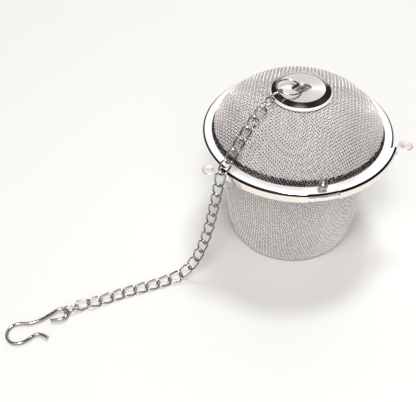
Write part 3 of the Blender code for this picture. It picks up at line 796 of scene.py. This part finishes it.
def link_path(start, end, roll):
    """Centreline of a twisted link between two joints."""
    along = (end - start).normalized()
    across = Vector((0, 0, 1)).cross(along).normalized()
    face = along.cross(across)
    turned = Matrix.Rotation(math.radians(roll), 3, along)
    across, face = turned @ across, turned @ face
    reach = (PITCH + LINK_WIRE + SLACK) / 2
    half = (WIDTH - LINK_WIRE) / 2
    middle = (start + end) / 2
    points = []
    for step in range(LINK_STEPS):
        angle = 2 * math.pi * (step + 0.5) / LINK_STEPS
        side = 1 if math.cos(angle) > 0 else -1
        x = half * math.cos(angle) + (reach - half) * side
        y = half * math.sin(angle)
        twist = math.radians(TWIST) * x / reach
        points.append(middle + along * x + across * (y * math.cos(twist)) + face * (y * math.sin(twist)))
    return points


def make_chain():
    places = chain_joints()
    for index in range(LINKS):
        name = f"link_{index + 1:02d}"
        path = link_path(places[index], places[index + 1], roll_of(index + 1))
        mesh = mesh_from(name, *tube(path, LINK_WIRE / 2, LINK_SIDES, closed=True))
        piece(name + "_wire", mesh, name, ["chain"], [name])


def make_hook():
    """The hook lies flat on the table, and rises to the last link at its eye."""
    route = []
    for x, y in HOOK:
        share = min(1.0, max(0.0, (x - HOOK_FLAT_X) / (HOOK_EYE_X - HOOK_FLAT_X)))
        route.append(Vector((x, y, HOOK_FLAT_Z + (HOOK_EYE_Z - HOOK_FLAT_Z) * share**HOOK_RISE)) * MM)
    mesh = mesh_from("hook", *tube(catmull(route, HOOK_STEP), HOOK_WIRE / 2, HOOK_SIDES))
    piece("hook_wire", mesh, "hook", ["wire"], ["hook"])


# ---------------------------------------------------------------- studio

# Soft panels round the object: direction, half angle that is full, half angle where it ends, brightness.
PANELS = (
    ((0.211, 0.662, 0.72), 18.0, 30.0, 0.98),
    ((0.30, 0.93, 0.15), 14.0, 26.0, 0.9),
    ((-0.20, -0.65, 0.74), 12.0, 40.0, 1.9),
    ((-0.92, 0.10, 0.30), 25.0, 50.0, 0.12),
    ((0.86, -0.45, 0.30), 25.0, 50.0, 0.12),
)
SURROUND, SURROUND_COLOUR = 0.04, (1.0, 0.945, 0.945, 1.0)
TABLE_HALF, TABLE_DROP, TABLE_COLOUR = 3.0, 0.02 * MM, (0.753, 0.764, 0.747, 1.0)
LIGHT_TARGET = Vector((0, 0, 0.02))
CAMERA_AT, CAMERA_TOWARDS = (-0.07884, -0.24703, 0.26132), (0.1283, 0.7046, -0.6979)
CAMERA_LENS, CAMERA_SENSOR = 77.69, 36.0


def make_floor():
    nodes = Nodes("pale_table", Base_Color=TABLE_COLOUR, Roughness=0.42, Specular_IOR_Level=0.25)
    corners = [(x * TABLE_HALF, y * TABLE_HALF, 0) for x, y in ((-1, -1), (1, -1), (1, 1), (-1, 1))]
    mesh = mesh_from("table", np.array(corners), np.array([(0, 1, 2, 3)]))
    mesh.materials.append(nodes.mat)
    floor = loose("table", mesh)
    floor.location.z = -TABLE_DROP


def make_world():
    """A dim pale room with soft bright panels, mostly behind and in front, which bright steel mirrors."""
    world = bpy.data.worlds.new("studio")
    bpy.context.scene.world = world
    world.use_nodes = True
    tree = world.node_tree
    place = tree.nodes.new("ShaderNodeTexCoord")
    total = None
    for direction, full, end, brightness in PANELS:
        facing = tree.nodes.new("ShaderNodeVectorMath")
        facing.operation = "DOT_PRODUCT"
        tree.links.new(place.outputs["Generated"], facing.inputs[0])
        facing.inputs[1].default_value = Vector(direction).normalized()
        fade = tree.nodes.new("ShaderNodeMapRange")
        fade.interpolation_type = "SMOOTHSTEP"
        fade.inputs["From Min"].default_value = math.cos(math.radians(end))
        fade.inputs["From Max"].default_value = math.cos(math.radians(full))
        fade.inputs["To Max"].default_value = brightness
        tree.links.new(facing.outputs["Value"], fade.inputs["Value"])
        add = tree.nodes.new("ShaderNodeMath")
        add.inputs[0].default_value = SURROUND
        if total is not None:
            tree.links.new(total, add.inputs[0])
        tree.links.new(fade.outputs["Result"], add.inputs[1])
        total = add.outputs["Value"]
    back = tree.nodes["Background"]
    back.inputs["Color"].default_value = SURROUND_COLOUR
    tree.links.new(total, back.inputs["Strength"])


def area_light(name, place, size, power, colour):
    """A square lamp that looks at the object."""
    lamp = bpy.data.lights.new(name, "AREA")
    lamp.shape = "RECTANGLE"
    lamp.size = lamp.size_y = size
    lamp.energy = power
    lamp.color = colour
    item = loose(name, lamp)
    item.location = place
    item.rotation_euler = (LIGHT_TARGET - Vector(place)).to_track_quat("-Z", "Y").to_euler()


def make_camera():
    camera = bpy.data.cameras.new("camera")
    camera.lens = CAMERA_LENS
    camera.sensor_width = CAMERA_SENSOR
    camera.clip_start = 0.01
    item = loose("camera", camera)
    item.location = CAMERA_AT
    item.rotation_euler = Vector(CAMERA_TOWARDS).to_track_quat("-Z", "Y").to_euler()
    bpy.context.scene.camera = item


def make_studio():
    make_floor()
    make_world()
    area_light("key", (0.118, 0.20, 1.0), size=0.20, power=4.4, colour=(0.965, 1.0, 0.99))
    area_light("fill", (-0.145, -0.455, 0.90), size=0.26, power=4.45, colour=(1.0, 0.96, 0.96))
    bpy.context.scene.view_settings.view_transform = "Standard"


def main():
    make_camera()
    make_cloth()
    make_rims()
    make_band()
    make_tab("finger_tab_left", -1)
    make_tab("finger_tab_right", 1)
    make_ball()
    make_cap()
    make_ring()
    make_chain()
    make_hook()
    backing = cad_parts["cap_backing"].data.materials
    backing.clear()
    backing.append(MAT["rim"])
    make_studio()


main()
